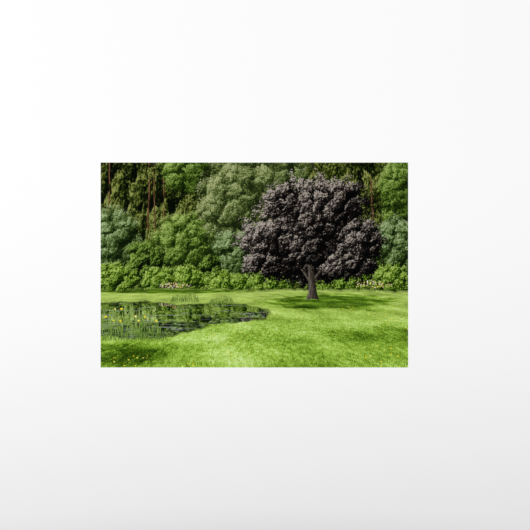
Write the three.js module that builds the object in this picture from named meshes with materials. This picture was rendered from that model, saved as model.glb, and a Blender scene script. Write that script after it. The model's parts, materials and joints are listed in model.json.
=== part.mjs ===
// A frameless wall print, 36 x 24 inches: a full-bleed photographic print bonded to 5 mm foam board,
// held on the wall by squares of mounting tape.
//
// Units are millimetres. +X runs to the viewer's right, +Y goes into the wall and +Z is up.
// The origin is the middle of the print on the wall's own surface, so the wall is the plane Y = 0
// and everything lies on its -Y side.

import * as THREE from 'three';

// ---------------------------------------------------------------- driving dimensions

const INCH = 25.4;
const PRINT_WIDTH = 36 * INCH;
const PRINT_HEIGHT = 24 * INCH;

// The layers, counted from the wall. Each is a multiple of 1/16 mm, so that layers meet face to face.
const TAPE_THICKNESS = 1;
const LINER_THICKNESS = 0.25;
const FOAM_THICKNESS = 4.5;
const PAPER_THICKNESS = 0.25;

// A blade drags on soft foam, so the core ends a little inside the papers that face it.
const FOAM_SETBACK = 0.25;

const TAPE_WIDTH = 50;
const TAPE_LENGTH = 75;
const TAPE_CORNER_RADIUS = 4;
const TAPE_EDGE_MARGIN = 35;
const ARC_SEGMENTS = 6;

// ---------------------------------------------------------------- materials

const material = (color, roughness) => new THREE.MeshStandardMaterial({ color, roughness, metalness: 0 });

const printedPaper = material(0x5f7340, 0.6);
const linerPaper = material(0xf1efe9, 0.8);
const foamCore = material(0xf7f6f2, 0.95);
const mountingTape = material(0xe6e7e4, 0.7);

// ---------------------------------------------------------------- shapes

// A flat panel whose outline is drawn in X and Z. It fills the depth from nearWall to nearWall + thickness.
function panel(name, outline, nearWall, thickness, finish) {
  const geometry = new THREE.ExtrudeGeometry(outline, {
    depth: thickness,
    bevelEnabled: false,
    curveSegments: ARC_SEGMENTS,
  });
  // The extrusion grows along +Z; this quarter turn lays it along -Y, away from the wall.
  geometry.rotateX(Math.PI / 2);
  const mesh = new THREE.Mesh(geometry, finish);
  mesh.name = name;
  mesh.position.y = -nearWall;
  return mesh;
}

function rectangle(width, height) {
  const shape = new THREE.Shape();
  shape.moveTo(-width / 2, -height / 2);
  shape.lineTo(width / 2, -height / 2);
  shape.lineTo(width / 2, height / 2);
  shape.lineTo(-width / 2, height / 2);
  shape.closePath();
  return shape;
}

function roundedRectangle(width, height, radius) {
  const x = width / 2 - radius;
  const z = height / 2 - radius;
  const quarter = Math.PI / 2;
  const shape = new THREE.Shape();
  shape.absarc(x, z, radius, 0, quarter);
  shape.absarc(-x, z, radius, quarter, 2 * quarter);
  shape.absarc(-x, -z, radius, 2 * quarter, 3 * quarter);
  shape.absarc(x, -z, radius, 3 * quarter, 4 * quarter);
  shape.closePath();
  return shape;
}

// ---------------------------------------------------------------- the board, from the wall outwards

const wallPrint = new THREE.Group();

const sheetOutline = rectangle(PRINT_WIDTH, PRINT_HEIGHT);
const foamOutline = rectangle(PRINT_WIDTH - 2 * FOAM_SETBACK, PRINT_HEIGHT - 2 * FOAM_SETBACK);

let depth = TAPE_THICKNESS;
for (const [name, outline, thickness, finish] of [
  ['back_liner', sheetOutline, LINER_THICKNESS, linerPaper],
  ['foam_core', foamOutline, FOAM_THICKNESS, foamCore],
  ['front_liner', sheetOutline, LINER_THICKNESS, linerPaper],
  ['printed_sheet', sheetOutline, PAPER_THICKNESS, printedPaper],
]) {
  wallPrint.add(panel(name, outline, depth, thickness, finish));
  depth += thickness;
}

// ---------------------------------------------------------------- mounting tape

// One pad stands in the middle, three along the top and three along the bottom. They are taller than
// wide, because a foam tape carries a hanging load best along its length.
const tapeOutline = roundedRectangle(TAPE_WIDTH, TAPE_LENGTH, TAPE_CORNER_RADIUS);
const tapeAcross = PRINT_WIDTH / 2 - TAPE_EDGE_MARGIN - TAPE_WIDTH / 2;
const tapeUp = PRINT_HEIGHT / 2 - TAPE_EDGE_MARGIN - TAPE_LENGTH / 2;

function tapePad(name, x, z) {
  const pad = panel(name, tapeOutline, 0, TAPE_THICKNESS, mountingTape);
  pad.position.x = x;
  pad.position.z = z;
  wallPrint.add(pad);
}

tapePad('tape_centre', 0, 0);
for (const [row, z] of [['top', tapeUp], ['bottom', -tapeUp]]) {
  tapePad(`tape_${row}_left`, -tapeAcross, z);
  tapePad(`tape_${row}_middle`, 0, z);
  tapePad(`tape_${row}_right`, tapeAcross, z);
}

export default wallPrint;
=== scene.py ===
# %% [markdown]
# # A frameless wall print
# The object is a photographic print, 36 by 24 inches, bonded to thin foam board and held flat to a wall
# by seven pads of mounting tape. This script builds what can be seen of it: the picture, the papers,
# the cut foam and the tape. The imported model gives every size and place, so it is loaded first.

# %% Load the frame
import json
import math

import bmesh
import bpy
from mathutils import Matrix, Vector, noise

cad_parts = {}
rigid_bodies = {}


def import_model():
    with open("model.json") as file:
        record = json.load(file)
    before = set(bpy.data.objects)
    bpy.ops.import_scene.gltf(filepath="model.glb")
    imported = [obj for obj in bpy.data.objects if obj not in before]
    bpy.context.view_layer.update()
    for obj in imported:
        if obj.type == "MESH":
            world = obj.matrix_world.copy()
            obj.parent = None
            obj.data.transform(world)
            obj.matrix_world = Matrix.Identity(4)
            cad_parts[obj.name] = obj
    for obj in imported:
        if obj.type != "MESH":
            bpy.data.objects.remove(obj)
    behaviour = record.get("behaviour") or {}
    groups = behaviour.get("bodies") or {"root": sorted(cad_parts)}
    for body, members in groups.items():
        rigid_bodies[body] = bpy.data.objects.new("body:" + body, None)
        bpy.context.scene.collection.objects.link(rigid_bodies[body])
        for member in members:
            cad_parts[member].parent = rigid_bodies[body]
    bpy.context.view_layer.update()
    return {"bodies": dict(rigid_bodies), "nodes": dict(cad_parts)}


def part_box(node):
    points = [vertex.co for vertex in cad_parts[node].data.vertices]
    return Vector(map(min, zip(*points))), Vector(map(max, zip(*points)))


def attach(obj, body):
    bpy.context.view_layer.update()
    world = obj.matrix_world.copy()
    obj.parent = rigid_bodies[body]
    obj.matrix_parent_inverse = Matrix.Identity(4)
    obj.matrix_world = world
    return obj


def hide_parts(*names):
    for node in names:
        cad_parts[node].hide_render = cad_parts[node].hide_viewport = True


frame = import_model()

MM = 0.001
(body,) = frame["bodies"]
print_low, print_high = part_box("printed_sheet")
print_width = print_high.x - print_low.x
print_height = print_high.z - print_low.z
print(f"print {print_width / MM:.1f} x {print_height / MM:.1f} mm, {-print_low.y / MM:.2f} mm off the wall")

# %% [markdown]
# ## The camera
# A picture is best shown square on, or its edges slope. The camera could stand close with a short lens,
# but then the thin sides of the board would show and the light would fall off towards the corners. A long
# lens from about three metres hides the sides. The camera is slid a little to the right and kept level,
# so the print sits left of the middle without any lens shift.

# %% Camera
SENSOR_WIDTH = 36
CAMERA_DISTANCE = 3.2
VIEW_WIDTH = 1.576
CAMERA_SIDESTEP = 31.5 * MM

camera = bpy.data.objects.new("camera", bpy.data.cameras.new("camera"))
camera.data.sensor_width = SENSOR_WIDTH
camera.data.lens = SENSOR_WIDTH * CAMERA_DISTANCE / VIEW_WIDTH
camera.location = (CAMERA_SIDESTEP, print_low.y - CAMERA_DISTANCE, 0)
camera.rotation_euler = (math.radians(90), 0, 0)
bpy.context.collection.objects.link(camera)
bpy.context.scene.camera = camera
print(f"a {camera.data.lens:.1f} mm lens sees {VIEW_WIDTH} m across at the print")

# %% [markdown]
# ## One helper for every node
# Materials here are graphs of nodes. They could be drawn by hand in the node editor, but a script can
# repeat itself, and it can be read from top to bottom. One function adds a node of any kind. Plain values
# go to its inputs in order, a name with a capital letter goes to the input of that name, and a name
# without one is a setting of the node itself. A node given as a value is linked.

# %% Colour and node helpers
tree = None


def ink(code):
    """An sRGB hex colour as the linear numbers that Blender works in."""
    parts = [int(code[start : start + 2], 16) / 255 for start in (1, 3, 5)]
    return [part / 12.92 if part <= 0.04045 else ((part + 0.055) / 1.055) ** 2.4 for part in parts] + [1]


def node(kind, *inputs, stops=(), **settings):
    """Adds a node of this kind to the tree in hand, with its settings, colour stops and links."""
    made = tree.nodes.new("ShaderNode" + kind)
    named = {name.replace("_", " "): settings.pop(name) for name in list(settings) if name[0].isupper()}
    for name, value in settings.items():
        setattr(made, name, value)
    for number, (position, code) in enumerate(stops):
        if number >= len(made.color_ramp.elements):
            made.color_ramp.elements.new(position)
        made.color_ramp.elements[number].position = position
        made.color_ramp.elements[number].color = ink(code)
    in_order = [socket for socket in made.inputs if socket.enabled]
    for socket, value in [*zip(in_order, inputs), *((made.inputs[name], named[name]) for name in named)]:
        if isinstance(value, bpy.types.Node):
            value = next(output for output in value.outputs if output.enabled)
        if isinstance(value, bpy.types.NodeSocket):
            tree.links.new(value, socket)
        elif value is not None:
            socket.default_value = ink(value) if isinstance(value, str) else value
    return made


def start_tree(owner):
    """Gives a material or world an empty tree, which the next nodes go into."""
    global tree
    owner.use_nodes = True
    tree = owner.node_tree
    tree.nodes.clear()
    return owner


def tell(made):
    """Says what was just made, and how large the tree in hand is now."""
    print(f"{made}: the tree has {len(tree.nodes)} nodes")


# %% [markdown]
# ## The air round the print
# A print is seen against its wall. A wall could be modelled, but it would hide the board's back from every
# camera behind it. So the world's own colour stands for the wall: nearly white in front, a touch darker to
# the lower right, and greyer all round, where it sets off the white back of the board.
# The world is the studio's soft light too. It is dark behind the camera, because light from there would
# glare on the ink.

# %% World
# How far each of these takes the air along its ramp, from white towards grey.
GREYER_TO_THE_RIGHT = 0.13
GREYER_BELOW = 0.43
GREYER_ALL_ROUND = 0.75
LIGHT_BEHIND_CAMERA = 0.08
LIGHT_ELSEWHERE = 0.68

world = start_tree(bpy.data.worlds.new("pale_room"))
bpy.context.scene.world = world
heading = node("SeparateXYZ", node("TexCoord").outputs["Generated"])
rightward = node("MapRange", heading.outputs["X"], -0.25, 0.25, 0, GREYER_TO_THE_RIGHT)
low = node("MapRange", heading.outputs["Z"], 0.1, -0.25)
lower = node("Math", low, low, operation="MULTIPLY")
dimming = node("Math", lower, GREYER_BELOW, rightward, operation="MULTIPLY_ADD")
turned = node("MapRange", heading.outputs["Y"], 0.9, -0.3, 0, GREYER_ALL_ROUND,
              interpolation_type="SMOOTHSTEP")
dimming = node("Math", dimming, turned, operation="ADD")
air = node("Background", node("ValToRGB", dimming, stops=((0, "#ffffff"), (0.5, "#e3e3e3"), (1, "#cdcdcd"))))
strength = node("MapRange", heading.outputs["Y"], -0.85, -0.35, LIGHT_BEHIND_CAMERA, LIGHT_ELSEWHERE)
light = node("Background", "#ffffff", strength)
node("OutputWorld", node("MixShader", node("LightPath").outputs["Is Camera Ray"], light, air))
tell(world.name)

# %% [markdown]
# ## The floor
# A studio floor has matt paint, here a pale grey, which throws soft light up and mirrors nothing. A plane
# with a hard end would draw a horizon behind the print. So the floor is a disc whose paint turns clear
# towards its rim, and it melts into the air. It lies well below the print, where it hides nothing.

# %% Floor
FLOOR_DROP = 1.5
FLOOR_SOLID = 0.8
FLOOR_RIM = 3.6

floor_paint = start_tree(bpy.data.materials.new("pale_studio_floor"))
reach = node("VectorMath", node("TexCoord").outputs["Object"], operation="LENGTH")
fade = node("MapRange", reach, FLOOR_SOLID, FLOOR_RIM, 0, 1, interpolation_type="SMOOTHSTEP")
node("OutputMaterial", node("MixShader", fade, node("BsdfDiffuse", "#cccbc9"), node("BsdfTransparent")))
tell(floor_paint.name)

work = bmesh.new()
bmesh.ops.create_circle(work, cap_ends=True, segments=96, radius=FLOOR_RIM)
floor = bpy.data.objects.new("floor", bpy.data.meshes.new("floor"))
work.to_mesh(floor.data)
work.free()
floor.data.materials.append(floor_paint)
floor.location.z = -FLOOR_DROP
bpy.context.collection.objects.link(floor)

# %% [markdown]
# ## The lamps
# Two lamps light the print from the sides, as when a painting is copied: they shine at such a slant that
# their glare goes past the camera. Small lamps would do, but big ones far away give a softer light that is
# even from edge to edge. They stand a little low, because the floor sends less light up than the air sends
# down. A weaker third lamp gives the back some shape.


# %% Lamps
def soft_lamp(name, place, size, watts):
    """A big square lamp that faces the middle of the print."""
    lamp = bpy.data.objects.new(name, bpy.data.lights.new(name, "AREA"))
    lamp.data.size = size
    lamp.data.energy = watts
    lamp.location = place
    lamp.rotation_euler = (-Vector(place)).to_track_quat("-Z", "Y").to_euler()
    bpy.context.collection.objects.link(lamp)
    print(f"{name}: {watts} W, {Vector(place).length:.1f} m away")


soft_lamp("left_lamp", (-3.4, -2.6, -0.3), 1.8, 104)
soft_lamp("right_lamp", (3.6, -2.8, -0.6), 1.8, 88)
soft_lamp("back_lamp", (-1.6, 2.4, 2.2), 1.6, 30)

# %% [markdown]
# ## The printed landscape
# The print shows a sunny park: a copper beech, mown grass, a pond with irises, a hedge and a wood. An image
# file could fill the print, but a picture made of nodes stays sharp at any size and needs no file.
# It is painted as a painter works, from the far wood to the near flowers, each layer over the last.
# Picture units keep the numbers simple: 0 to 1 up the print, and 0 to 1.5 across it.

# %% Picture units
SUN = (-0.62, 0.78, 0)  # the sun stands high on the left of the picture

printed_paper = start_tree(bpy.data.materials.new("inkjet_print_on_lustre_photo_paper"))
spot = node("TexCoord").outputs["Object"]
to_picture = (1 / print_height, 0, 1 / print_height)
spread = node("VectorMath", spot, to_picture, (0.75, 0, 0.5), operation="MULTIPLY_ADD")
spread = node("SeparateXYZ", spread)
across, up = spread.outputs["X"], spread.outputs["Z"]
place = node("CombineXYZ", across, up, 0)

# %% [markdown]
# ## Rounded masses
# From afar a tree is a few rounded masses, bright where they face the sun and dark below. They could be
# modelled as solids, but in a flat picture an ellipse does. How deep a spot lies inside it gives the
# outline, and the side that the spot lies on gives the light. Where two overlap, the one that the spot is
# deeper in wins.


# %% Masses
def masses(place, *mounds):
    """How deep a spot lies inside a group of mounds, and how far it faces the sun there. Each mound is given
    by its middle, across and up, and by half its width and half its height."""
    inside = lean = None
    for middle_across, middle_up, half_width, half_height in mounds:
        away = node("VectorMath", place, (1 / half_width, 1 / half_height, 0),
                    (-middle_across / half_width, -middle_up / half_height, 0), operation="MULTIPLY_ADD")
        depth = node("Math", 1, node("VectorMath", away, operation="LENGTH"), operation="SUBTRACT")
        facing = node("VectorMath", away, SUN, operation="DOT_PRODUCT")
        if inside:
            nearer = node("Math", depth, inside, operation="GREATER_THAN")
            lean = node("Mix", nearer, lean, facing)
            inside = node("Math", depth, inside, operation="MAXIMUM")
        else:
            inside, lean = depth, facing
    return inside, lean


# %% [markdown]
# ## Clumps as cells
# Leaves could be thousands of painted shapes. Cells of Voronoi noise give the same thing cheaply: each cell
# is a clump, and a leaf on it is a smaller cell, each with a bright side and a dark one. Wandering noise
# bends them all, because no clump is round.


# %% Sunlit cells, and bending by noise
def sunlit_cells(place, size, contrast, **settings):
    """Rounded cells, each brighter on the side that faces the sun."""
    cells = node("TexVoronoi", place, 1 / size, voronoi_dimensions="2D", **settings)
    away = node("VectorMath", place, cells.outputs["Position"], operation="SUBTRACT")
    sunward = (SUN[0] * contrast / size, SUN[1] * contrast / size, 0)
    return node("VectorMath", away, sunward, operation="DOT_PRODUCT"), cells


def bent_by_noise(place, size, strength, detail, roughness):
    """The same place, pushed about by cloudy noise, so that what is drawn there loses its regular shape."""
    wander = node("TexNoise", place, 1 / size, detail, roughness, noise_dimensions="2D")
    push = node("VectorMath", wander.outputs["Color"], (-0.5, -0.5, 0), operation="ADD")
    return node("VectorMath", push, (strength, strength, 0), place, operation="MULTIPLY_ADD")


# %% [markdown]
# ## Leaves near and far
# Near foliage shows its leaves, so four sizes add up: clumps, the bulges on them, sprays of leaves, and
# single leaves. The same on far foliage would only sparkle. That has soft round heads, with smaller heads
# on them and a fine speckle. Both kinds give a tone, from a gap to a sunlit leaf, and how far their outline
# stands out.


# %% Near leaves
def near_leaves(place, clump, leaf):
    """Foliage with clumps and leaves of these sizes, leaf by leaf: the light on it, from 0 in a gap to 1,
    and how far its outline stands out."""
    bent = bent_by_noise(place, 0.9 * clump, 1.5 * clump, 6, 0.62)
    tone, clumps = sunlit_cells(bent, clump, 0.75)
    spray_tone, _ = sunlit_cells(bent, 2.7 * leaf, 0.5)
    fluttering = bent_by_noise(place, 1.7 * leaf, 2 * leaf, 2, 0.6)
    leaf_tone, leaves = sunlit_cells(fluttering, leaf, 0.35)
    sunward = node("VectorMath", place, (SUN[0] * 0.09 * clump, SUN[1] * 0.09 * clump, 0), operation="ADD")
    bulk = node("TexNoise", place, 2.2 / clump, 4, 0.6, noise_dimensions="2D")
    bulk_sunward = node("TexNoise", sunward, 2.2 / clump, 4, 0.6, noise_dimensions="2D")
    relief = node("Math", bulk, bulk_sunward, operation="SUBTRACT")
    # The light is a weighted sum of what each size gives, less towards the clump's rim.
    tone = node("Math", relief, 2.4, tone, operation="MULTIPLY_ADD")
    tone = node("Math", tone, spray_tone, operation="ADD")
    tone = node("Math", tone, leaf_tone, operation="ADD")
    each_leaf = node("SeparateXYZ", leaves.outputs["Color"])
    tone = node("Math", each_leaf, 0.5, tone, operation="MULTIPLY_ADD")
    tone = node("Math", clumps.outputs["Distance"], -0.4, tone, operation="MULTIPLY_ADD")
    tone = node("Math", tone, 0.28, operation="ADD")
    ragged = node("Math", clumps.outputs["Distance"], -0.6, operation="MULTIPLY")
    return tone, node("Math", each_leaf, 0.5, ragged, operation="MULTIPLY_ADD")


# %% Far leaves
def far_leaves(place, clump, leaf):
    """The same for foliage too far off to tell its leaves: soft round heads, speckled with light."""
    bent = bent_by_noise(place, 0.9 * clump, 1.2 * clump, 8, 0.7)
    tone, heads = sunlit_cells(bent, clump, 0.65, feature="SMOOTH_F1", Smoothness=0.35)
    twig_tone, _ = sunlit_cells(bent, 0.37 * clump, 0.55, feature="SMOOTH_F1", Smoothness=0.25)
    speckle = node("TexNoise", place, 1.3 / leaf, 2, 0.8, noise_dimensions="2D")
    speckle = node("MapRange", speckle, 0.3, 0.72, interpolation_type="SMOOTHSTEP")
    tone = node("Math", tone, twig_tone, operation="ADD")
    tone = node("Math", speckle, 0.55, tone, operation="MULTIPLY_ADD")
    tone = node("Math", heads.outputs["Distance"], -0.5, tone, operation="MULTIPLY_ADD")
    tone = node("Math", tone, 0.34, operation="ADD")
    ragged = node("Math", heads.outputs["Distance"], -0.6, operation="MULTIPLY")
    return tone, node("Math", speckle, 0.4, ragged, operation="MULTIPLY_ADD")


# %% [markdown]
# ## Layers of the picture
# Each layer needs a colour and a cover, which is 1 where the layer hides what is behind it. A Mix node lays
# it over the picture so far. Foliage takes its colour from a ramp of five greens, from gap to sunlit leaf,
# and its cover from the mounds, with a rim as ragged as its leaves.


# %% Planting
RAMP_STOPS = (0, 0.28, 0.52, 0.76, 1)


def planting(picture, mounds, foliage, colours, ragged=0.5, form=0.35, shade=0.0, soft=0.06):
    """Trees or shrubs painted over the picture, where these mounds are. Ragged is how far leaves break their
    outline, form how far each mound is lit as one body, shade how much darker they all are, and soft how
    gently the rim fades."""
    inside, lean = masses(seen_uneven, *mounds)
    tone, outline = foliage
    tone = node("Math", lean, form, tone, operation="MULTIPLY_ADD")
    tone = node("MapRange", tone, shade - 0.12, shade + 1.12, interpolation_type="SMOOTHSTEP")
    edge = node("Math", outline, ragged, inside, operation="MULTIPLY_ADD")
    cover = node("MapRange", edge, 0, soft, interpolation_type="SMOOTHSTEP")
    greens = node("ValToRGB", tone, stops=zip(RAMP_STOPS, colours))
    return node("Mix", cover, picture, greens, data_type="RGBA")


# %% [markdown]
# ## Trunks and limbs
# A stem is a band that climbs from its foot to its top, sways a little and grows thinner. It could be
# modelled as a tube, but from so far off bark is only furrows and a light side. Noise stretched along the
# stem gives the furrows, and how far a spot is from the middle gives the light side.


# %% Stems
FURROWS = 150  # as many as would fit side by side in the picture's height


def stem(picture, foot, top, half_widths, bark, flare=0.0, wave=0.01, shown=None):
    """A trunk or limb from foot to top, lit from the left, that may show only in places."""
    climb = node("MapRange", seen_up, foot[1], top[1], 0, 1)
    middle = node("MapRange", climb, 0, 1, foot[0], top[0])
    strip = node("CombineXYZ", foot[0] * 31, seen_up, 0)  # each stem sways by its own strip of the noise
    sway = node("TexNoise", strip, 5, 3, 0.6, noise_dimensions="2D")
    middle = node("Math", sway, 2 * wave, middle, operation="MULTIPLY_ADD")
    middle = node("Math", middle, wave, operation="SUBTRACT")
    half = node("MapRange", climb, 0, 1, *half_widths)
    if flare:
        root = node("Math", node("Math", 1, climb, operation="SUBTRACT"), 9, operation="POWER")
        half = node("Math", root, flare, half, operation="MULTIPLY_ADD")
    off = node("Math", node("Math", seen_across, middle, operation="SUBTRACT"), half, operation="DIVIDE")
    furrows = node("VectorMath", seen, (1, 0.25, 1), operation="MULTIPLY")
    furrows = node("TexNoise", furrows, FURROWS, 3, 0.6, noise_dimensions="2D")
    tone = node("Math", off, -0.3, node("Math", furrows, 0.9, operation="MULTIPLY"), operation="MULTIPLY_ADD")
    depth = node("Math", 1, node("Math", off, operation="ABSOLUTE"), operation="SUBTRACT")
    cover = node("MapRange", depth, 0, 0.25, interpolation_type="SMOOTHSTEP")
    above_foot = node("Math", seen_up, foot[1], operation="GREATER_THAN")
    cover = node("Math", cover, above_foot, operation="MULTIPLY")
    below_top = node("Math", seen_up, top[1], operation="LESS_THAN")
    cover = node("Math", cover, below_top, operation="MULTIPLY")
    if shown:
        cover = node("Math", cover, shown, operation="MULTIPLY")
    return node("Mix", cover, picture, node("ValToRGB", tone, stops=bark), data_type="RGBA")


# %% [markdown]
# ## A pond that mirrors the park
# Still water shows the far bank upside down. The reflection could be painted a second time, but there is a
# simpler way: inside the pond, the place is flipped about the far shore before anything is painted. All
# that stands behind the water then appears in it by itself. Flat ripples push the flipped place about.

# %% The pond's outline and its mirror
POND = ((0.12, 0.235, 0.42, 0.085), (0.52, 0.262, 0.3, 0.05))
MIRROR_LINE = 0.355
SHORE_WANDER = 0.5

pond, _ = masses(place, *POND)
shore = node("TexNoise", place, 11, 4, 0.6, noise_dimensions="2D")
pond = node("Math", shore, SHORE_WANDER, pond, operation="MULTIPLY_ADD")
pond = node("Math", pond, -0.5 * SHORE_WANDER, operation="ADD")  # noise is about a half on average
ripples = node("VectorMath", place, (4, 55, 1), operation="MULTIPLY")
ripples = node("TexNoise", ripples, 1, 4, 0.6, noise_dimensions="2D")
ripples = node("VectorMath", ripples.outputs["Color"], (-0.5, -0.5, 0), operation="ADD")
flipped = node("VectorMath", place, (1, -1, 0), (0, 2 * MIRROR_LINE, 0), operation="MULTIPLY_ADD")
flipped = node("VectorMath", ripples, (0.03, 0.12, 0), flipped, operation="MULTIPLY_ADD")
in_pond = node("Math", pond, 0, operation="GREATER_THAN")
seen = node("Mix", in_pond, place, flipped, data_type="VECTOR")
seen_spread = node("SeparateXYZ", seen)
seen_across, seen_up = seen_spread.outputs["X"], seen_spread.outputs["Y"]
seen_uneven = bent_by_noise(seen, 0.11, 0.05, 4, 0.6)  # for mounds, so that they lose their smooth outlines
tell("pond")

# %% [markdown]
# ## The wood and the hedge
# Far trees are paler and softer than near ones, because air lies between. So the wood is built in depth:
# dark hanging firs at the back with a few pine stems in the sun, then grey and mossy crowns, then sage
# bushes and yews, and last the hedge, which is the brightest and has the sharpest leaves.

# %% Firs and pine stems at the back
FIR_GREENS = ((0, "#040802"), (0.28, "#131e05"), (0.51, "#303e10"), (0.74, "#5c6822"), (1, "#939a54"))
PINE_BARK = ((0, "#160e09"), (0.35, "#46301f"), (0.7, "#8c6245"), (1, "#c2976f"))
PINES = ((0.035, 0.01, 0.005), (0.225, 0.014, 0.006), (0.27, -0.012, 0.004), (0.31, 0.0, 0.0045),
         (0.57, 0.01, 0.005), (1.33, -0.01, 0.006))  # each has its foot, its lean and its half width

hanging = node("VectorMath", seen, (1, 0.45, 1), operation="MULTIPLY")
picture = node("ValToRGB", near_leaves(hanging, clump=0.06, leaf=0.0042)[0], stops=FIR_GREENS)
gaps = node("TexNoise", seen, 13, 5, 0.65, noise_dimensions="2D")
gaps = node("MapRange", gaps, 0.60, 0.48, interpolation_type="SMOOTHSTEP")
for foot, lean, half_width in PINES:
    picture = stem(picture, (foot, 0.4), (foot + lean, 1.02), (half_width, 0.6 * half_width), PINE_BARK,
                   shown=gaps)
tell("firs and pines")

# %% Crowns and bushes in the middle distance
WILLOW = ("#161f0a", "#34441a", "#5a6b34", "#828e55", "#b0b884")
MOSS = ("#0e1904", "#293f0c", "#4b671c", "#74913a", "#a6bb68")
SAGE = ("#0a1503", "#243811", "#49622b", "#70884f", "#a6b886")
YEW = ("#040802", "#112104", "#29430a", "#4f701b", "#8ca84c")

crown_leaves = far_leaves(seen, clump=0.085, leaf=0.009)
picture = planting(picture, ((0.42, 0.98, 0.14, 0.16),), crown_leaves, MOSS, soft=0.12)
picture = planting(picture, ((1.47, 0.86, 0.13, 0.22),), crown_leaves, MOSS, shade=0.12, soft=0.12)
willows = ((0.64, 0.80, 0.17, 0.26), (0.86, 0.98, 0.17, 0.16))
picture = planting(picture, willows, crown_leaves, WILLOW, soft=0.12)
bush_leaves = far_leaves(seen, clump=0.06, leaf=0.008)
sage_bushes = ((0.05, 0.60, 0.15, 0.19), (1.44, 0.57, 0.16, 0.17), (0.66, 0.55, 0.16, 0.12))
picture = planting(picture, sage_bushes, bush_leaves, SAGE, soft=0.1)
picture = planting(picture, ((0.40, 0.59, 0.16, 0.17),), bush_leaves, MOSS, soft=0.1)
yews = ((0.22, 0.50, 0.11, 0.125), (1.28, 0.50, 0.12, 0.12), (0.54, 0.47, 0.07, 0.08))
yew_leaves = near_leaves(seen, clump=0.05, leaf=0.0036)
picture = planting(picture, yews, yew_leaves, YEW, shade=0.03, soft=0.08)
tell("crowns and bushes")

# %% The hedge
HEDGE_GREENS = ("#0c1b02", "#2d4e08", "#5f8518", "#88a938", "#b0c868")
HEDGE = ((0.06, 0.42, 0.13, 0.09), (0.30, 0.42, 0.10, 0.07), (0.42, 0.41, 0.09, 0.09),
         (0.62, 0.41, 0.12, 0.06), (0.82, 0.42, 0.14, 0.06), (1.20, 0.42, 0.20, 0.06),
         (1.42, 0.42, 0.13, 0.08))

hedge_leaves = near_leaves(seen, clump=0.04, leaf=0.0038)
picture = planting(picture, HEDGE, hedge_leaves, HEDGE_GREENS, shade=0.04, soft=0.08)
tell("hedge")

# %% [markdown]
# ## Flowers
# A blossom is a small dot, and a bed is many of them in clusters. A Voronoi texture has one point in each
# cell, so a dot round each point gives well-spread flowers, and its random colour says which cells stay
# empty and which petals the others have. A little noise frays the dots. They are drawn about as large as
# three blossoms together.


# %% Blossoms and the flower beds
def blossoms(picture, where, size, share, petals, cover):
    """Dots of petal colour in this share of the cells of this size."""
    cells = node("TexVoronoi", where, 1 / size, voronoi_dimensions="2D")
    petal = node("MapRange", cells, 0.34, 0.24, interpolation_type="SMOOTHSTEP")
    each_cell = node("SeparateXYZ", cells.outputs["Color"])
    chosen = node("Math", each_cell.outputs["Y"], share, operation="LESS_THAN")
    cover = node("Math", node("Math", petal, chosen, operation="MULTIPLY"), cover, operation="MULTIPLY")
    return node("Mix", cover, picture, node("ValToRGB", each_cell, stops=petals), data_type="RGBA")


BORDER_PETALS = ((0, "#e8c23a"), (0.35, "#f3ead0"), (0.6, "#eecf58"), (0.8, "#d7a0ae"), (1, "#fbf6e6"))

bed, _ = masses(seen, (1.33, 0.405, 0.12, 0.028), (0.36, 0.40, 0.10, 0.02))
patches = node("TexNoise", seen, 30, 4, 0.6, noise_dimensions="2D")
bed = node("Math", patches, 0.8, bed, operation="MULTIPLY_ADD")
bed = node("MapRange", bed, 0.5, 0.8, interpolation_type="SMOOTHSTEP")
frayed = bent_by_noise(seen, 0.006, 0.009, 2, 0.6)
picture = blossoms(picture, frayed, size=0.010, share=0.8, petals=BORDER_PETALS, cover=bed)
tell("flower beds")

# %% [markdown]
# ## The lawn
# Grass shrinks with distance. On flat ground, a spot seen just below eye level is far away, and its
# distance is one over its drop below that level. With that distance, a map of the ground can be laid
# in perspective under the picture, and noise on that map gives turf that grows finer towards the hedge.
# Blades stand upright, so they are drawn in the picture itself: tall thin Voronoi cells, each one a blade
# with a light tip. Three sizes, each fading into the next, cover the near grass and the grass behind it.

# %% The ground map, turf and blades
EYE_LEVEL = 0.46
LAWN_TOP = 0.365
# Each size of blade has the level it is drawn at, how far it reaches, its height, slimness and weight.
BLADES = ((0.0, 0.3, 0.010, 6, 0.5), (0.19, 0.15, 0.0055, 5, 0.5), (0.31, 0.14, 0.0032, 3, 0.28))

drop = node("Math", node("Math", EYE_LEVEL, up, operation="SUBTRACT"), 0.03, operation="MAXIMUM")
far = node("Math", 1, drop, operation="DIVIDE")
side = node("Math", node("Math", across, -0.75, operation="ADD"), far, operation="MULTIPLY")
ground = node("CombineXYZ", side, far, 0)

broad = node("TexNoise", ground, 1.1, 4, 0.6, noise_dimensions="2D")
turf = node("TexNoise", node("VectorMath", ground, (1, 0.6, 1), operation="MULTIPLY"), 16, 4, 0.7,
            noise_dimensions="2D")
grass = node("Math", broad, 0.9, -0.28, operation="MULTIPLY_ADD")
grass = node("Math", turf, 0.7, grass, operation="MULTIPLY_ADD")
leaning = bent_by_noise(place, 0.06, 0.016, 1, 0.5)
for middle, reach, height, slimness, weight in BLADES:
    blades = node("VectorMath", leaning, (slimness, 1, 1), operation="MULTIPLY")
    light, blades = sunlit_cells(blades, height, 0.45)
    light = node("Math", node("SeparateXYZ", blades.outputs["Color"]), 0.55, light, operation="MULTIPLY_ADD")
    light = node("Math", blades.outputs["Distance"], -0.55, light, operation="MULTIPLY_ADD")
    zone = node("Math", node("Math", up, middle, operation="SUBTRACT"), operation="ABSOLUTE")
    zone = node("MapRange", zone, 0, reach, weight, 0, interpolation_type="SMOOTHSTEP")
    grass = node("Math", light, zone, grass, operation="MULTIPLY_ADD")
tell("turf")

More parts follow.
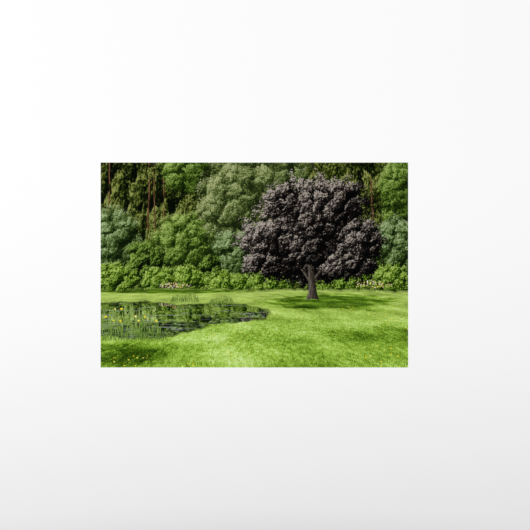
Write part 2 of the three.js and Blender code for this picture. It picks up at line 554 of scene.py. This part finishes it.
# %% [markdown]
# ## Shade and haze on the lawn
# Shade makes the lawn lie flat and ties the beech to it. It comes from the beech and from trees outside the
# picture. Each patch is a wide low mound, and noise on the ground map breaks it into dapples that lie flat
# too. Where the far grass is in the sun it is paler and yellower, because there the eye meets its tips.

# %% Shade, greens and haze
SHADE = ((1.13, 0.318, 0.38, 0.048), (0.30, 0.372, 0.50, 0.012),
         (1.52, 0.15, 0.42, 0.06), (-0.05, 0.07, 0.55, 0.07))

shade, _ = masses(place, *SHADE)
dapples = node("TexNoise", bent_by_noise(ground, 0.6, 0.5, 4, 0.6), 1.7, 5, 0.62, noise_dimensions="2D")
shade = node("Math", dapples, 1.7, shade, operation="MULTIPLY_ADD")
shade = node("MapRange", shade, 0.7, 1.5, interpolation_type="SMOOTHSTEP")
grass = node("Math", shade, -0.32, grass, operation="MULTIPLY_ADD")
LAWN_GREENS = ((0, "#1b2e04"), (0.22, "#476b10"), (0.48, "#8bb133"), (0.68, "#b7dc62"), (1, "#e4f2b6"))
lawn = node("ValToRGB", grass, stops=LAWN_GREENS)
sunlit = node("MapRange", shade, 0, 0.6, 0.32, 0)
haze = node("Math", node("MapRange", up, 0.2, 0.34), sunlit, operation="MULTIPLY")
lawn = node("Mix", haze, lawn, "#c9ce82", data_type="RGBA")
tell("lawn")

# %% [markdown]
# ## Dandelions and edges
# Dandelions grow in patches and look smaller with distance, here in three steps. The lawn ends in a ragged
# fringe under the hedge, where it is in shade, and in a strip of dark wet earth along the pond.

# %% Dandelions, fringe and bank
DANDELION_PETALS = ((0, "#ead919"), (0.5, "#f6ea2c"), (1, "#faf27c"))

tufts = node("TexNoise", ground, 0.8, 2, 0.6, noise_dimensions="2D")
tufts = node("MapRange", tufts, 0.5, 0.6, interpolation_type="SMOOTHSTEP")
flattened = node("VectorMath", bent_by_noise(place, 0.006, 0.004, 2, 0.6), (1, 1.5, 1), operation="MULTIPLY")
for nearest, farthest, size in ((-0.05, 0.1, 0.014), (0.1, 0.2, 0.010), (0.2, 0.3, 0.007)):
    zone = node("Math", up, nearest, operation="GREATER_THAN")
    zone = node("Math", zone, node("Math", up, farthest, operation="LESS_THAN"), operation="MULTIPLY")
    zone = node("Math", zone, tufts, operation="MULTIPLY")
    lawn = blossoms(lawn, flattened, size, share=0.06, petals=DANDELION_PETALS, cover=zone)
fringe = node("TexNoise", place, 22, 6, 0.7, noise_dimensions="2D")
roll = node("TexNoise", place, 2.3, 1, 0.5, noise_dimensions="2D")
rim = node("Math", fringe, 0.035, node("Math", roll, 0.035, operation="MULTIPLY"), operation="MULTIPLY_ADD")
rim = node("Math", rim, node("Math", LAWN_TOP - 0.015, up, operation="SUBTRACT"), operation="ADD")
foot_shade = node("MapRange", rim, 0.02, 0, 0, 0.7, interpolation_type="SMOOTHSTEP")
lawn = node("Mix", foot_shade, lawn, "#1a2a0d", data_type="RGBA")
bank = node("MapRange", node("Math", pond, operation="ABSOLUTE"), 0.09, 0, 0, 0.85)
lawn = node("Mix", bank, lawn, "#1d2410", data_type="RGBA")
cover = node("MapRange", rim, 0, 0.006, interpolation_type="SMOOTHSTEP")
dry = node("MapRange", pond, 0.02, -0.01, interpolation_type="SMOOTHSTEP")
cover = node("Math", cover, dry, operation="MULTIPLY")
picture = node("Mix", cover, picture, lawn, data_type="RGBA")
tell("dandelions and edges")

# %% [markdown]
# ## The copper beech
# This is the dark tree that holds the picture together. Its leaves are nearly black in the shade and a pale
# brownish grey where the sky shines on them. A shaded mound goes in first, as the inside of the crown. Two
# limbs and the trunk come next, with grass over the trunk's foot. The sunlit outside goes over them last
# and leaves the limbs in view below it.

# %% Beech
BEECH_LEAVES = ("#020202", "#0e0c0b", "#2a2421", "#5c534c", "#b8aea3")
BEECH_BARK = ((0, "#0c0a08"), (0.35, "#2e2822"), (0.7, "#665e52"), (1, "#9d9588"))
CROWN = ((1.03, 0.71, 0.25, 0.22), (0.83, 0.62, 0.16, 0.13), (1.25, 0.61, 0.14, 0.14),
         (0.82, 0.51, 0.12, 0.075), (1.22, 0.505, 0.15, 0.08), (0.90, 0.80, 0.12, 0.11),
         (1.15, 0.80, 0.15, 0.13), (1.02, 0.59, 0.16, 0.11))

beech_leaves = near_leaves(seen, clump=0.055, leaf=0.0045)
picture = planting(picture, ((1.03, 0.52, 0.27, 0.12),), beech_leaves, BEECH_LEAVES, shade=0.35)
picture = stem(picture, (1.025, 0.42), (0.90, 0.60), (0.009, 0.005), BEECH_BARK)
picture = stem(picture, (1.040, 0.43), (1.16, 0.60), (0.009, 0.005), BEECH_BARK)
above_grass = node("Math", fringe, 0.035, node("Math", up, -0.348, operation="ADD"), operation="MULTIPLY_ADD")
above_grass = node("MapRange", above_grass, 0, 0.005)
picture = stem(picture, (1.035, 0.32), (1.02, 0.62), (0.020, 0.014), BEECH_BARK, flare=0.026, wave=0.004,
               shown=above_grass)
picture = planting(picture, CROWN, beech_leaves, BEECH_LEAVES, ragged=0.7, form=0.6, shade=0.12)
tell("beech")

# %% [markdown]
# ## Water and lily pads
# Pond water darkens what it mirrors, and flat streaks of sky lie on its ripples. Lily pads are Voronoi
# dots on the ground map, so perspective flattens them by itself.

# %% Water and lily pads
LILY_PADS = ((0, "#314c1c"), (0.5, "#5c7d34"), (1, "#9bb670"))

water = node("Mix", 0.22, picture, "#0a0f08", data_type="RGBA")
streaks = node("TexNoise", node("VectorMath", place, (6, 120, 1), operation="MULTIPLY"), 1, 3, 0.6,
               noise_dimensions="2D")
streaks = node("Math", streaks, node("MapRange", up, 0.30, 0.14, 0, 0.16), operation="ADD")
streaks = node("MapRange", streaks, 0.62, 0.8, 0, 0.6, interpolation_type="SMOOTHSTEP")
water = node("Mix", streaks, water, "#a9b2b0", data_type="RGBA")
pads = node("TexVoronoi", ground, 9, voronoi_dimensions="2D")
rafts = node("TexNoise", ground, 1.3, 2, 0.6, noise_dimensions="2D")
cover = node("Math", rafts, 0.57, operation="GREATER_THAN")
cover = node("Math", node("Math", pads, 0.36, operation="LESS_THAN"), cover, operation="MULTIPLY")
each_pad = node("SeparateXYZ", pads.outputs["Color"])
water = node("Mix", cover, water, node("ValToRGB", each_pad, stops=LILY_PADS), data_type="RGBA")
wet = node("MapRange", pond, 0, 0.02, interpolation_type="SMOOTHSTEP")
picture = node("Mix", wet, picture, water, data_type="RGBA")
tell("water")

# %% [markdown]
# ## Irises
# Iris leaves are swords that start at the bank. Each could be drawn as a curve of its own. Streaks of noise
# along the bank give a whole clump at once: they bend more as they rise, and a second noise cuts them off
# at a ragged top. The two small clumps across the pond are the same swords, further off.

# %% Irises
SWORD_GREENS = ((0.1, "#14200a"), (0.4, "#3f5e20"), (0.65, "#7f9d46"), (0.9, "#c2d486"))
IRIS_PETALS = ((0, "#e6d023"), (0.5, "#f4e53e"), (1, "#fbf29c"))


def irises(picture, left, right, foot, height, sword, flowers):
    """Sword leaves between left and right, standing on foot, with flowers in this share of the places."""
    rise = node("Math", up, foot, operation="SUBTRACT")
    clump = node("TexNoise", node("CombineXYZ", across, foot, 0), 2.7 / height, 3, 0.7, noise_dimensions="2D")
    bow = node("Math", node("Math", clump, -0.5, operation="ADD"), 2.4 / height, operation="MULTIPLY")
    bow = node("Math", bow, node("Math", rise, rise, operation="MULTIPLY"), operation="MULTIPLY")
    bowed = node("CombineXYZ", node("Math", across, bow, operation="ADD"),
                 node("Math", rise, 0.1, operation="MULTIPLY"), 0)
    swords = node("TexNoise", bowed, 1 / sword, 3, 0.7, noise_dimensions="2D")
    tops = node("TexNoise", node("CombineXYZ", across, foot, 0), 0.7 / sword, 3, 0.7, noise_dimensions="2D")
    spread, _ = masses(place, ((left + right) / 2, foot, (right - left) / 2, 1.0))
    thinning = node("MapRange", spread, 0, 0.35, 0, 1.6 * height, interpolation_type="SMOOTHSTEP")
    tops = node("Math", tops, thinning, operation="MULTIPLY")
    cover = node("MapRange", node("Math", tops, rise, operation="SUBTRACT"), 0, 0.01)
    cover = node("Math", cover, node("MapRange", rise, -0.012, 0.004), operation="MULTIPLY")
    cover = node("Math", cover, node("MapRange", swords, 0.46, 0.52), operation="MULTIPLY")
    sheen = node("TexNoise", bowed, 2.3 / sword, 2, 0.6, noise_dimensions="2D")
    sheen = node("Math", rise, 2.2, node("Math", sheen, 0.9, operation="MULTIPLY"), operation="MULTIPLY_ADD")
    picture = node("Mix", cover, picture, node("ValToRGB", sheen, stops=SWORD_GREENS), data_type="RGBA")
    if flowers:
        band = node("MapRange", rise, 0.45 * height, 0.5 * height)
        band = node("Math", band, node("MapRange", rise, 0.95 * height, 0.9 * height), operation="MULTIPLY")
        band = node("Math", band, node("MapRange", spread, 0.05, 0.2), operation="MULTIPLY")
        frilled = bent_by_noise(place, 0.008, 0.014, 2, 0.6)
        picture = blossoms(picture, frilled, size=0.019, share=flowers, petals=IRIS_PETALS, cover=band)
    return picture


picture = irises(picture, left=-0.16, right=0.34, foot=0.135, height=0.17, sword=0.007, flowers=0.14)
picture = irises(picture, left=0.33, right=0.49, foot=0.318, height=0.055, sword=0.003, flowers=0)
picture = irises(picture, left=0.52, right=0.66, foot=0.312, height=0.045, sword=0.003, flowers=0)
tell("irises")

# %% [markdown]
# ## Ink on lustre photo paper
# Lustre paper is a paper base in thin plastic films, rolled with a fine pebbled skin about 1 mm across.
# It has a soft sheen and no mirror image. Inkjet ink lies in its top coat, and where the ink is heavy the
# surface is a little smoother. Plastic has an IOR of about 1.5, but pebbles scatter most of that shine
# sideways, so the specular level is well below its default. Ripples of a few centimetres come
# from the board underneath, and they bend the sheen a little from the side.

# %% Finish of the printed face
PEBBLE = 1.2 * MM
BOARD_RIPPLE = 60 * MM

brightness = node("RGBToBW", picture)
roughness = node("MapRange", brightness, 0, 0.5, 0.46, 0.58)
pebbles = node("TexVoronoi", spot, 1 / PEBBLE, feature="SMOOTH_F1", Smoothness=0.6)
ripple = node("TexNoise", spot, 1 / BOARD_RIPPLE, 1, 0.5)
surface = node("Bump", 0.12, 0.1 * MM, Height=pebbles)
surface = node("Bump", 0.25, 2 * MM, Height=ripple, Normal=surface)
inked = node("BsdfPrincipled", Base_Color=picture, Roughness=roughness, Normal=surface, IOR=1.5,
             Specular_IOR_Level=0.03)
node("OutputMaterial", inked)
tell(printed_paper.name)

# %% [markdown]
# ## The paper under the ink
# Photo paper is a white paper core between two thin films of polyethylene. Its cut edge and its back bear
# no ink, so they are white, with a faint warm cloud of fibres. The film gives a weak soft sheen: the IOR of
# polyethylene is 1.51, and its roughness here is 0.4 to 0.6.

# %% Finish of the edge and back of the photo paper
FIBRE = 0.4 * MM  # paper fibres are finer, about 0.03 mm, and wouldn't show

paper_base = start_tree(bpy.data.materials.new("resin_coated_photo_paper_base"))
spot = node("TexCoord").outputs["Object"]
fibres = node("TexNoise", spot, 1 / FIBRE, 3, 0.7)
white = node("ValToRGB", fibres, stops=((0.3, "#e9e8e4"), (0.7, "#f7f6f3")))
roughness = node("MapRange", fibres, 0, 1, 0.4, 0.6)
surface = node("Bump", 0.2, 0.05 * MM, Height=fibres)
filmed = node("BsdfPrincipled", Base_Color=white, Roughness=roughness, Normal=surface, IOR=1.51)
node("OutputMaterial", filmed)
tell(paper_base.name)

# %% [markdown]
# ## Facing paper of the board
# Foam board is faced on both sides with smooth white paper. A coat of clay fills the fibres, so it looks
# soft and even, with faint clouds where the pulp was thicker and short pale fibres that catch the light.
# Clay-coated paper is matt: its roughness is about 0.6 to 0.8, and the IOR of clay is 1.56.

# %% Finish of the facing paper
PULP_CLOUD = 45 * MM
FLECK = 3 * MM  # real flecks are about 1 mm long

facing_paper = start_tree(bpy.data.materials.new("clay_coated_facing_paper"))
spot = node("TexCoord").outputs["Object"]
clouds = node("TexNoise", spot, 1 / PULP_CLOUD, 6, 0.62)
along_roll = node("VectorMath", bent_by_noise(spot, 0.02, 0.01, 3, 0.6), (0.3, 1, 1), operation="MULTIPLY")
flecks = node("TexNoise", along_roll, 1 / FLECK, 3, 0.75)
pulp = node("Math", flecks, 0.6, node("Math", clouds, 0.4, operation="MULTIPLY"), operation="MULTIPLY_ADD")
white = node("ValToRGB", pulp, stops=((0.3, "#eceae5"), (0.5, "#f1efeb"), (0.7, "#f6f5f2")))
roughness = node("MapRange", flecks, 0.3, 0.7, 0.6, 0.8)
surface = node("Bump", 0.2, 0.2 * MM, Height=pulp)
coated = node("BsdfPrincipled", Base_Color=white, Roughness=roughness, Normal=surface, IOR=1.56,
              Specular_IOR_Level=0.3)
node("OutputMaterial", coated)
tell(facing_paper.name)

# %% [markdown]
# ## The foam core
# The core is polystyrene blown into foam. A knife opens its cells, so the cut edge is a field of tiny pits
# with thin walls between them. It is very white and quite matt, because light bounces among the cells.
# The large pits are in the mesh, made below, and the cells between them are a bump in the material. The IOR
# of polystyrene is 1.59, but its cut walls face all ways, so little of their shine is seen.

# %% Finish of the foam
CELL = 0.9 * MM  # real cells are about 0.2 mm across

foam = start_tree(bpy.data.materials.new("extruded_polystyrene_foam"))
spot = node("TexCoord").outputs["Object"]
cells = node("TexVoronoi", spot, 1 / CELL)
# The ramp is darkest at each cell's middle, where the bump sinks into a pit: painted shade in the pits.
white = node("ValToRGB", cells, stops=((0, "#dedcd6"), (0.35, "#f0efeb"), (0.8, "#fbfaf8")))
roughness = node("MapRange", cells, 0, 1, 0.85, 0.95)
surface = node("Bump", 0.6, 0.2 * MM, Height=cells)
cut_foam = node("BsdfPrincipled", Base_Color=white, Roughness=roughness, Normal=surface, IOR=1.59,
                Specular_IOR_Level=0.3)
node("OutputMaterial", cut_foam)
tell(foam.name)

# %% [markdown]
# ## Mounting tape
# Each pad is soft polyethylene foam with a film of acrylic adhesive on both faces. The adhesive is clear
# and stays tacky, with an IOR of 1.47. The slight orange peel that its release liner left spreads its shine
# into a soft sheen, and small trapped bubbles make it a little paler in places.

# %% Finish of the tape
ORANGE_PEEL = 8 * MM  # real peel is about 2 mm

tape = start_tree(bpy.data.materials.new("acrylic_adhesive_foam_tape"))
spot = node("TexCoord").outputs["Object"]
peel = node("TexNoise", spot, 1 / ORANGE_PEEL, 3, 0.55)
bubbles = node("TexVoronoi", spot, 1 / ORANGE_PEEL)
bubbles = node("MapRange", bubbles, 0.3, 0.15, 0, 0.1)
pallor = node("Math", peel, bubbles, operation="ADD")
grey = node("ValToRGB", pallor, stops=((0.3, "#cccdca"), (0.55, "#d2d3d0"), (0.9, "#dbdcd9")))
roughness = node("MapRange", peel, 0.3, 0.7, 0.36, 0.5)
surface = node("Bump", 0.15, 0.3 * MM, Height=peel)
tacky = node("BsdfPrincipled", Base_Color=grey, Roughness=roughness, Normal=surface, IOR=1.47)
node("OutputMaterial", tacky)
tell(tape.name)

# %% [markdown]
# ## One way to make every flat piece
# Sheet, papers, foam and pads are all flat pieces whose edges tell them apart. Each could start as a cube
# and be bevelled, but a bevel can't bulge or be pitted. So each piece is a stack of rings: one outline,
# repeated at several depths and drawn in a little at each. The outline comes first.

# %% Outline
CORNER_STEPS = 5


def outline(low, high, corner, pitch=None):
    """Points round a rectangle seen from the front, with round corners: x, z and the way out, in x and z."""
    points = []
    for quarter, (right, top) in enumerate(((1, 1), (0, 1), (0, 0), (1, 0))):
        x = high.x - corner if right else low.x + corner
        z = high.z - corner if top else low.z + corner
        for step in range(CORNER_STEPS + 1):
            turn = math.radians(90) * (quarter + step / CORNER_STEPS)
            out_x, out_z = math.cos(turn), math.sin(turn)
            points.append((x + corner * out_x, z + corner * out_z, out_x, out_z))
        x, z, out_x, out_z = points[-1]
        run = (high.z - low.z if quarter % 2 else high.x - low.x) - 2 * corner
        steps = round(run / pitch) if pitch else 1
        for step in range(1, steps):
            ahead = run * step / steps
            points.append((x - ahead * out_z, z + ahead * out_x, out_x, out_z))
    return points


# %% [markdown]
# ## From rings to a closed mesh
# Strips of faces join the rings, and two caps close the stack. Each face also needs a place in the UV map,
# for whoever bakes the finish to an image. Blender could unwrap the piece, but it would give a thin rim
# as much care as the face. Here the cap that shows gets nearly all of the map, so a baked picture is sharp.

# %% Stack of rings
UV_GAP = 0.004


def stack(points, rings, front_share, back_share, pit=None):
    """A closed flat piece. Each ring is a depth and how far the outline is drawn in there, and each share is
    how much of the UV map's height a cap gets."""
    work = bmesh.new()
    uv = work.loops.layers.uv.new("OFBake")
    levels = []
    for depth, drawn_in in rings:
        level = []
        for x, z, out_x, out_z in points:
            inward = drawn_in + (pit(x, depth, z) if pit and 0 < len(levels) < len(rings) - 1 else 0)
            level.append(work.verts.new((x - inward * out_x, depth, z - inward * out_z)))
        levels.append(level)
    width = max(point[0] for point in points) - min(point[0] for point in points)
    height = max(point[1] for point in points) - min(point[1] for point in points)
    base = UV_GAP
    for cap, share in ((levels[0], front_share), (levels[-1][::-1], back_share)):
        face = work.faces.new(cap)
        for loop in face.loops:
            x, _, z = loop.vert.co
            loop[uv].uv = (UV_GAP + (x / width + 0.5) * (1 - 2 * UV_GAP), base + (z / height + 0.5) * share)
        base += share + UV_GAP
    strip = (1 - UV_GAP - base) / (len(levels) - 1)
    for row, (front, back) in enumerate(zip(levels, levels[1:])):
        for here in range(len(points)):
            there = (here + 1) % len(points)
            face = work.faces.new((front[here], back[here], back[there], front[there]))
            face.smooth = True
            for loop, (along, behind) in zip(face.loops, ((0, 0), (0, 1), (1, 1), (1, 0))):
                loop[uv].uv = ((here + along) / len(points), base + strip * (row + behind))
    return work


# %% [markdown]
# ## From mesh to piece
# A piece takes its finishes and rides on the board's one body. The CAD node that it stands for stays, and is
# hidden, so the piece alone is seen.


# %% Piece
def finish_piece(name, work, finishes, cad_node):
    """Turns the work into a piece that stands for its CAD node."""
    piece = bpy.data.objects.new(name, bpy.data.meshes.new(name))
    work.to_mesh(piece.data)
    work.free()
    for finish in finishes:
        piece.data.materials.append(finish)
    bpy.context.collection.objects.link(piece)
    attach(piece, body)
    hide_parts(cad_node)
    print(f"{name}: {len(piece.data.polygons)} faces")
    return piece


# %% [markdown]
# ## The printed sheet and its papers
# All three are paper, cut by one pass of a sharp knife with the board. Such a cut is nearly square, with an
# edge softened by a few hundredths of a millimetre and corners blunted by half a millimetre.
# Only the front cap of the sheet has ink on it, and its rim and back are bare white paper.

# %% Sheet and facing papers
BLUNT_CORNER = 0.5 * MM
SOFT_ARRIS = 0.05 * MM


def cut_paper(cad_node, front_share, back_share):
    """A paper the size of this CAD node, with knife-cut edges."""
    low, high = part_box(cad_node)
    rings = ((low.y, SOFT_ARRIS), (low.y + SOFT_ARRIS, 0), (high.y - SOFT_ARRIS, 0), (high.y, SOFT_ARRIS))
    return stack(outline(low, high, BLUNT_CORNER), rings, front_share, back_share)


work = cut_paper("printed_sheet", 0.97, 0.008)
work.faces.ensure_lookup_table()
for face in work.faces[1:]:
    face.material_index = 1
finish_piece("printed_sheet_face", work, [printed_paper, paper_base], "printed_sheet")
work = cut_paper("front_liner", 0.1, 0.1)
finish_piece("front_facing_paper", work, [facing_paper], "front_liner")
work = cut_paper("back_liner", 0.008, 0.97)
finish_piece("back_facing_paper", work, [facing_paper], "back_liner")

# %% [markdown]
# ## The foam core's pitted edge
# A knife drags on foam, so its cut edge is slightly hollow and pitted. A modifier could displace a dense
# mesh, but only the rim needs it. The stack already has rings there, so each point is drawn in by noise,
# between no depth and a quarter of a millimetre. The papers' edges stand clear of it on both sides.

# %% Foam core
PIT_DEPTH = 0.25 * MM
PIT_SIZE = 5 * MM  # real pits are 1 or 2 mm across, and would need a much denser mesh
FOAM_PITCH = 2.5 * MM
FOAM_RINGS = 7


def foam_pit(x, y, z):
    """How deep the cut is pitted here."""
    return PIT_DEPTH * max(0, min(1, 0.5 + noise.noise(Vector((x, y, z)) / PIT_SIZE)))


low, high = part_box("foam_core")
rings = [(low.y + (high.y - low.y) * ring / (FOAM_RINGS - 1), 0) for ring in range(FOAM_RINGS)]
work = stack(outline(low, high, BLUNT_CORNER, FOAM_PITCH), rings, 0.1, 0.1, foam_pit)
finish_piece("foam_board_core", work, [foam], "foam_core")

# %% [markdown]
# ## The tape pads
# A pad pressed between board and wall bulges at its edges, because its foam is soft and its adhesive films
# hold both faces. Its outline at mid depth is the full size, and it is drawn in along a round curve
# towards both faces. The pads are die-cut, so their corners are round.

# %% Pads
PAD_CORNER = 4 * MM
PAD_BULGE = 0.35 * MM
PAD_PITCH = 10 * MM
PAD_RINGS = 7

for cad_node in sorted(name for name in frame["nodes"] if name.startswith("tape_")):
    low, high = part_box(cad_node)
    rings = []
    for ring in range(PAD_RINGS):
        turn = math.pi * ring / (PAD_RINGS - 1)
        depth = low.y + (high.y - low.y) * (1 - math.cos(turn)) / 2
        rings.append((depth, PAD_BULGE * (1 - math.sin(turn))))
    work = stack(outline(low, high, PAD_CORNER, PAD_PITCH), rings, 0.2, 0.7)
    finish_piece(cad_node.replace("tape", "tape_pad"), work, [tape], cad_node)

# %% [markdown]
# ## The colour view
# The pieces must fill the imported model's box and no more. The Standard view keeps the inks as they were
# mixed, where a film-like view would grey them.

bpy.context.scene.view_settings.view_transform = "Standard"
